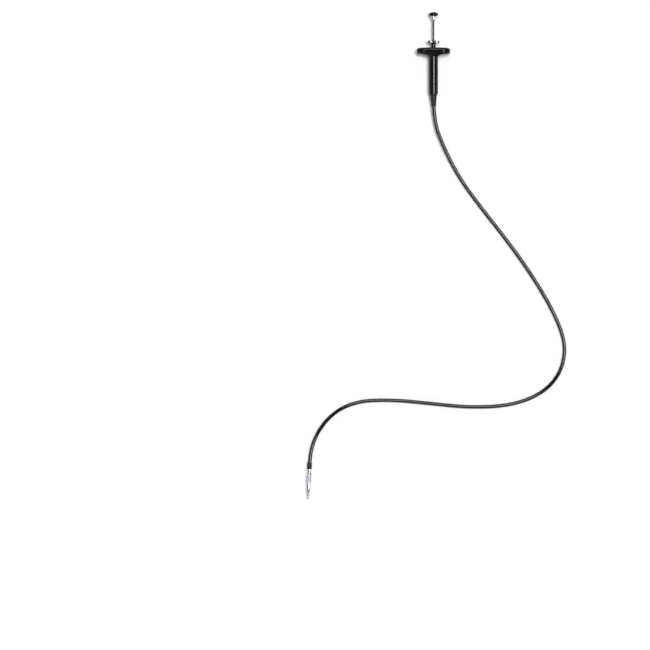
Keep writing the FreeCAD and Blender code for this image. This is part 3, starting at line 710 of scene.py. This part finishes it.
def lock_stem():
    """The disc's dark tube, its flange in the finger rest, with three holes that cage the balls."""
    hole_radius = 0.8
    hole_length = 4
    hole_station = -8.5
    bm = turned(
        (0.95, -10, 0.1),
        (2.15, -10, 0.15),
        (2.15, -2.5),
        (2.7, -2.5, 0.1),
        (2.7, -1.7, 0.1),
        (2.15, -1.7),
        (2.15, 0.55),
        (2.07, 0.65),
        (2.07, 0.85),
        (2.15, 0.95),
        (2.15, 4.4),
        (1.55, 4.4),
        (1.55, 6.7),
        (0.95, 6.7),
        steps=72,
    )
    for turn in (0, 120, 240):
        hole = bmesh.new()
        bmesh.ops.create_cone(
            hole, cap_ends=True, segments=32, radius1=hole_radius, radius2=hole_radius, depth=hole_length
        )
        lying = Matrix.Rotation(math.radians(90), 4, "Y") @ Matrix.Translation((0, 0, hole_length / 2))
        facing = Matrix.Rotation(math.radians(turn), 4, "Z")
        hole.transform(Matrix.Translation((0, 0, hole_station)) @ facing @ lying)
        bm = cut_by(bm, hole)
    return bm


# ---------------------------------------------------------------- finger rest and barrel
def carried_on(bm, edges, step, count):
    """Extrudes a row of edges on by equal steps, and gives the last row."""
    for _ in range(count):
        made = bmesh.ops.extrude_edge_only(bm, edges=edges)["geom"]
        verts = [item for item in made if isinstance(item, bmesh.types.BMVert)]
        edges = [item for item in made if isinstance(item, bmesh.types.BMEdge)]
        bmesh.ops.translate(bm, verts=verts, vec=step)
    return edges


def finger_rest():
    """Two rounded wings, crowned above and scooped below for the fingers, bored for the barrel."""
    tip = 16.3
    half_depth = 6.75
    end_centre = tip - half_depth
    hub = 4.5
    parting = -3.1
    crown_drop = 0.45
    scoop = 17.9
    flat_end = 13.1
    hub_steps = 6
    wing_steps = 8
    hub_step = (hub / hub_steps, 0, 0)
    wing_step = ((end_centre - hub) / wing_steps, 0, 0)
    bm = section(
        [
            (0, 0), (2.4, 0), (4.2, 0), (half_depth, 0, 1.9),
            (half_depth, -3.02), (half_depth - 0.04, parting), (half_depth, -3.18),
            (half_depth, -6.2, 1.9), (4.2, -6.2), (2.4, -6.2), (0, -6.2),
        ],
        closed=False,
    )
    bm.transform(Matrix.Rotation(math.radians(-90), 4, "Z"))
    row = carried_on(bm, bm.edges[:], hub_step, hub_steps)
    row = carried_on(bm, row, wing_step, wing_steps)
    ends = list({vert for edge in row for vert in edge.verts})
    last = bmesh.ops.spin(
        bm, geom=ends + row, cent=(end_centre, 0, 0), axis=(0, 0, 1), dvec=(0, 0, 0),
        angle=math.pi, steps=32, use_merge=False, use_duplicate=False,
    )["geom_last"]
    row = [item for item in last if isinstance(item, bmesh.types.BMEdge)]
    row = carried_on(bm, row, (-wing_step[0], 0, 0), wing_steps)
    carried_on(bm, row, (-hub_step[0], 0, 0), hub_steps)
    merged(bm)
    wing = bm.verts[:] + bm.edges[:] + bm.faces[:]
    bmesh.ops.mirror(bm, geom=wing, matrix=Matrix.Identity(4), merge_dist=NEAR, axis="X")
    merged(bm)
    for vert in bm.verts:
        across = abs(vert.co.x)
        if vert.co.z > parting:
            vert.co.z -= crown_drop * (across / tip) ** 2
        elif across < flat_end:
            inward = min(flat_end - across, flat_end - hub)
            vert.co.z -= scoop - math.sqrt(scoop**2 - inward**2)
    bore = turned(
        (0, -11), (4.1, -11), (4.1, -8.55), (3.92, -8.25), (3.92, -1.6),
        (2.2, -1.6), (2.2, -0.22), (2.5, 0.08), (2.5, 1), (0, 1),
        closed=False, steps=72,
    )
    return cut_by(bm, bore)


def grip_barrel():
    """A tube with a spigot above, and two fine grooves that frame the grip."""
    return turned(
        (3.0, -44.5),
        (4.5, -44.5, 0.55),
        (4.5, -43.0),
        (4.38, -42.85, 0.05),
        (4.5, -42.7),
        (4.5, -10.15),
        (4.38, -10.0, 0.05),
        (4.5, -9.85),
        (4.5, -8.4, 0.1),
        (3.9, -8.4),
        (3.9, -1.6),
        (3.3, -1.6),
        (3.3, -17.6),
        (3.0, -17.6),
    )


def end_plug():
    """The barrel's end, which grips the cable and holds the boot."""
    return turned(
        (0.8, -41.0),
        (2.98, -41.0, 0.2),
        (2.98, -44.5),
        (3.8, -44.5, 0.1),
        (3.8, -45.9, 0.3),
        (3.35, -46.3, 0.1),
        (1.82, -46.3),
        (1.82, -43.1),
        (0.8, -43.1),
    )


def strain_relief(line):
    """A soft tapered boot with five rings moulded in it."""
    first_ring = -55.4
    pitch = 1.35
    first_radius = 2.36
    widening = 0.14
    corners = [(1.82, -56.3), (2.3, -56.3, 0.25)]
    for ring in range(5):
        low = first_ring + pitch * ring
        radius = first_radius + widening * ring
        corners += [(radius + 0.05, low, 0.08), (radius - 0.12, low + 0.16), (radius - 0.12, low + 0.36)]
        corners += [(radius + 0.1, low + 0.52, 0.08)]
    corners += [(3.1, -48.4, 0.3), (3.1, -46.3, 0.2), (1.82, -46.3), (1.82, -50), (1.82, -53)]
    return bent_along(turned(*corners, steps=72), ON_HANDLE, line)


# ---------------------------------------------------------------- tip
def end_sleeve(line):
    """A short sleeve shrunk over the cable's end, thinner where it lies on the cable."""
    bm = turned(
        (1.85, -8.6),
        (2.1, -8.6, 0.1),
        (2.35, -8.2, 0.2),
        (2.35, -5.4),
        (2.35, -2.3, 0.15),
        (1.85, -2.3),
        (1.85, -4.4),
        (1.85, -6.5),
        steps=72,
    )
    return bent_along(bm, ON_TIP, line)


def tip_ferrule():
    """A bright ferrule with two turned grooves, the one over the cable crimped in eight spots."""
    steps = 72
    crimped_groove = -1.05
    crimp_pitch = 9
    crimp_width = 3
    crimp_floor = 2.08
    groove_floor = 2.2
    bm = turned(
        (1.82, -2.3),
        (2.425, -2.3, 0.15),
        (2.425, -1.35, 0.05),
        (groove_floor, crimped_groove),
        (2.425, -0.75, 0.05),
        (2.425, 0.05, 0.05),
        (groove_floor, 0.35),
        (2.425, 0.65, 0.05),
        (2.425, 1.6, 0.2),
        (1.42, 1.6),
        (1.42, 0),
        (1.82, 0),
        steps=steps,
    )
    for vert in bm.verts:
        in_groove = reach_of(vert) > groove_floor - NEAR and abs(vert.co.z - crimped_groove) < 0.2
        if in_groove and column_of(vert, steps) % crimp_pitch < crimp_width:
            set_reach(vert, crimp_floor)
    return bm


def thread_collar():
    """The screw-in collar up to its thread: rolled lip, crossed knurl, plain nose and taper."""
    steps = 64
    rows = 26
    grip = 2.85
    knurl_depth = 0.15
    low = 3.7
    high = 11.0
    shape = section(
        [
            (1.5, 1.7), (2.425, 1.7, 0.2), (2.79, 3.4, 0.1), (grip, low), (grip, high), (2.62, 11.2, 0.08),
            (2.4, 11.2), (2.4, 11.6), (2.32, 11.72), (2.4, 11.84), (2.4, 18.0, 0.25), (1.65, 20.4, 0.1),
            (1.5, 20.4), (0.85, 20.4), (0.85, 4.5), (2.15, 4.5), (2.15, 2.8), (1.5, 2.8),
        ],
        closed=True,
    )
    grip_line = [edge for edge in shape.edges if all(abs(vert.co.x - grip) < NEAR for vert in edge.verts)]
    bmesh.ops.subdivide_edges(shape, edges=grip_line, cuts=rows - 1)
    bm = spun(shape, steps)
    pitch = (high - low) / rows
    valleys = []
    for vert in bm.verts:
        if abs(reach_of(vert) - grip) < NEAR:
            row = round((vert.co.z - low) / pitch)
            if row in (0, rows) or (row + column_of(vert, steps)) % 2:
                valleys.append(vert)
    for vert in valleys:
        set_reach(vert, grip - knurl_depth)
    bmesh.ops.connect_verts(bm, verts=valleys)
    bmesh.ops.recalc_face_normals(bm, faces=bm.faces[:])
    # The knurl's faces take the second finish, whose lighter colour is a painted sheen.
    for face in bm.faces:
        if low < face.calc_center_median().z < high and reach_of(face.verts[0]) > grip - knurl_depth - 0.05:
            face.material_index = 1
    return bm


def tip_thread():
    """The tapered thread: a ridge wound on the nose's end, run out at both ends and bored for the pin."""
    low = 20.4
    high = 26.4
    pitch = 0.5
    steps = 48
    turns = 14
    bore = 0.85
    root = 1.42
    crest = 1.65
    root_taper = 0.17
    run_in = 0.6
    run_out = 0.5
    bm = section(
        [
            (root, 0), (root, 0.07), (crest - 0.02, 0.21), (crest, 0.23), (crest, 0.27), (crest - 0.02, 0.29),
            (root, 0.43), (root, pitch),
        ],
        closed=False,
    )
    bmesh.ops.spin(
        bm, geom=bm.verts[:] + bm.edges[:], cent=(0, 0, 0), axis=(0, 0, 1), dvec=(0, 0, pitch / steps),
        angle=2 * math.pi * turns, steps=steps * turns, use_merge=False, use_duplicate=False,
    )
    bmesh.ops.translate(bm, verts=bm.verts[:], vec=(0, 0, low - pitch))
    merged(bm)
    ends = []
    for station, facing in ((low, -1), (high, 1)):
        bmesh.ops.bisect_plane(
            bm, geom=bm.verts[:] + bm.edges[:] + bm.faces[:], plane_co=(0, 0, station),
            plane_no=(0, 0, facing), clear_outer=True, clear_inner=False,
        )
        rim = [
            edge for edge in bm.edges
            if edge.is_boundary and all(abs(vert.co.z - station) < 0.0005 for vert in edge.verts)
        ]
        drawn_in = bmesh.ops.extrude_edge_only(bm, edges=rim)["geom"]
        circle = {part for part in drawn_in if isinstance(part, bmesh.types.BMVert)}
        for vert in circle:
            set_reach(vert, bore)
        ends.append([edge for edge in bm.edges if edge.is_boundary and circle.issuperset(edge.verts)])
    bmesh.ops.bridge_loops(bm, edges=ends[0] + ends[1])
    for vert in bm.verts:
        radius = reach_of(vert)
        if radius > bore + 0.1:
            along = (vert.co.z - low) / (high - low)
            into = min(1, (vert.co.z - low) / run_in, (high - vert.co.z) / run_out)
            set_reach(vert, root - root_taper * along + (radius - root) * max(0, into))
    return merged(bm)


def release_pin():
    """The steel pin that the wire pushes out, with a blind hole for the wire and a round nose."""
    back = PIN_BACK * MM_IN_METRE
    return turned(
        (0, back), (0.52, back), (0.52, 4.7), (0.8, 4.7, 0.08), (0.8, 25.9, 0.55), (0, 25.9),
        closed=False, steps=48,
    )


def wound_spring(name, node_name):
    """A steel coil, copied from its CAD node and merged, that rides on the handle."""
    held = frame["nodes"][node_name]
    bm = bmesh.new()
    bm.from_mesh(held.data)
    bm.transform((ON_HANDLE @ IN_METRES).inverted() @ held.matrix_world)
    coil = piece(merged(bm), name, ON_HANDLE, STEEL_ON_HANDLE, "handle", "steel", node_name)
    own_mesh(coil)


# ---------------------------------------------------------------- studio
FLOOR_REACH = 20
WALL_DISTANCE = 16
WALL_HEIGHT = 4.5
FLOOR_GLOW = 0.15
WALL_GLOW = 0.5
CEILING = 0.14
LAMP_ANGLE = 12


def grey(level):
    """A neutral colour."""
    return (level, level, level, 1)


def pale_stage(name, first, second, glow):
    """A matt pale surface that the camera and the bright metal both see a little lighter."""
    material = bpy.data.materials.new(name)
    material.use_nodes = True
    tree = material.node_tree
    shader = tree.nodes["Principled BSDF"]
    shader.inputs["Roughness"].default_value = 0.9
    shader.inputs["Specular IOR Level"].default_value = 0.1
    shader.inputs["Emission Color"].default_value = grey(1)
    slow = noise(tree, node(tree, "ShaderNodeTexCoord").outputs["Object"], 3.0)
    tree.links.new(mixed(tree, slow, grey(first), grey(second)), shader.inputs["Base Color"])
    seen = node(tree, "ShaderNodeLightPath")
    direct = math_node(tree, "MAXIMUM", seen.outputs["Is Camera Ray"], seen.outputs["Is Glossy Ray"])
    shown = math_node(tree, "MAXIMUM", direct, seen.outputs["Is Transmission Ray"])
    tree.links.new(times(tree, shown, glow), shader.inputs["Emission Strength"])
    return material


def stage_piece(bm, name, finish):
    """A piece of the studio, which is no part of the release."""
    mesh = mesh_of(bm, name)
    mesh.materials.append(finish)
    made = placed(name, mesh)


def floor():
    """A wide pale floor that keeps the release's soft shadow, and a white wall far round it."""
    ground = bmesh.new()
    bmesh.ops.create_grid(ground, x_segments=1, y_segments=1, size=FLOOR_REACH)
    stage_piece(ground, "floor", pale_stage("pale_floor", 0.89, 0.91, FLOOR_GLOW))
    wall = bmesh.new()
    bmesh.ops.create_circle(wall, cap_ends=False, segments=64, radius=WALL_DISTANCE)
    carried_on(wall, wall.edges[:], (0, 0, WALL_HEIGHT), 1)
    stage_piece(wall, "wall", pale_stage("white_wall", 0.88, 0.9, WALL_GLOW))


def sky():
    """A dim, even ceiling."""
    world = bpy.data.worlds.new("studio")
    bpy.context.scene.world = world
    world.use_nodes = True
    background = world.node_tree.nodes["Background"]
    background.inputs["Color"].default_value = grey(1)
    background.inputs["Strength"].default_value = CEILING


def soft_light(name, toward, level):
    """A round lamp far off: toward points at it, level is what it adds to a white floor."""
    data = bpy.data.lights.new(name, "SUN")
    data.angle = math.radians(LAMP_ANGLE)
    steep = Vector(toward).normalized()
    data.energy = level * math.pi / steep.z
    placed(name, data).rotation_euler = steep.to_track_quat("Z", "Y").to_euler()


def lamps():
    """Three tilted lamps: wherever the cable runs, it mirrors one of them, and the flat rest none."""
    soft_light("right_light", (0.26, 0.01, 1), 0.3)
    soft_light("corner_light", (0.19, 0.175, 1), 0.29)
    soft_light("top_light", (-0.01, 0.26, 1), 0.21)


# ---------------------------------------------------------------- the whole release in its studio
def build():
    """Every piece in its place, then the studio round them."""
    bpy.context.scene.view_settings.view_transform = "Standard"
    camera()
    cable = route_curve(
        "cable_skin_tube", CABLE_START, CABLE_END, CABLE_RADIUS, CABLE_SKIN, "cable_skin", "cable_sheath"
    )
    liner = route_curve(
        "cable_liner", CABLE_START, CABLE_END, LINER_RADIUS, STEEL_ON_HANDLE, "steel", "cable_conduit"
    )
    wire = route_curve(
        "release_wire_strand", WIRE_START, WIRE_END, WIRE_RADIUS, STEEL_ON_HANDLE, "steel", "release_wire"
    )
    line = middle_line(cable)

    piece(
        thumb_button(), "button_moulding", ON_HANDLE, MOULDED_BLACK, "plunger", "moulded_black",
        "thumb_button",
    )
    piece(
        button_collar(), "button_collar_turning", ON_HANDLE, CHROME_ON_HANDLE, "plunger", "chrome_plate",
        "button_collar",
    )
    # The rod's colour is a painted shade, darker than its steel.
    piece(plunger_rod(), "plunger_rod_drawn", ON_HANDLE, ROD_STEEL_PAINTED_SHADE, "plunger", "dark_steel", "plunger_rod")
    # The disc's plate colour is a painted shade, darker than its chrome.
    piece(lock_disc(), "lock_disc_milled", ON_HANDLE, DISC_PLATE_PAINTED_SHADE, "lock", "chrome_plate", "lock_disc")
    piece(lock_stem(), "lock_stem_tube", ON_HANDLE, BLACK_NICKEL, "lock", "black_nickel", "lock_stem")
    piece(
        finger_rest(), "finger_rest_moulding", ON_HANDLE, MOULDED_BLACK, "handle", "moulded_black",
        "finger_rest",
    )
    piece(
        grip_barrel(), "grip_barrel_tube", ON_HANDLE, LACQUERED_BLACK, "handle", "moulded_black",
        "grip_barrel",
    )
    piece(end_plug(), "end_plug_turning", ON_HANDLE, BLACK_NICKEL, "handle", "black_nickel", "end_plug")
    boot = piece(
        strain_relief(line), "strain_relief_boot", ON_HANDLE, RUBBER_ON_HANDLE, "handle", "sleeve_skin",
        "strain_relief",
    )
    sleeve = piece(
        end_sleeve(line), "end_sleeve_shrunk", ON_TIP, RUBBER_ON_TIP, "handle", "sleeve_skin", "end_sleeve"
    )
    ferrule = piece(
        tip_ferrule(), "tip_ferrule_crimped", ON_TIP, CHROME_ON_TIP, "handle", "chrome_plate", "tip_ferrule"
    )
    # The collar's knurl finish is a painted sheen: its nickel is painted lighter.
    collar = piece(
        thread_collar(), "thread_collar_knurled", ON_TIP, NICKEL_PLATE, "screw_collar", "nickel_plate",
        "thread_collar", sharp=24, second=KNURLED_NICKEL_PAINTED_SHEEN,
    )
    thread = piece(
        tip_thread(), "thread_collar_thread", ON_TIP, NICKEL_PLATE, "screw_collar", "nickel_plate",
        "thread_collar",
    )
    pin = piece(release_pin(), "release_pin_steel", ON_TIP, STEEL_ON_TIP, "tip_pin", "steel", "release_pin")

    wound_spring("return_spring_coil", "return_spring")
    wound_spring("lock_spring_coil", "lock_spring")

    kept = {
        "lock_sleeve": BRASS_ON_HANDLE,
        "guide_bush": BRASS_ON_HANDLE,
        "stop_collar": BRASS_ON_HANDLE,
        "wire_clamp": BRASS_ON_HANDLE,
        "lock_balls": STEEL_ON_HANDLE,
        "swivel_bush": BRASS_ON_TIP,
    }
    for name, finish in kept.items():
        mesh = frame["nodes"][name].data
        mesh.materials.clear()
        mesh.materials.append(finish)

    floor()
    sky()
    lamps()


build()
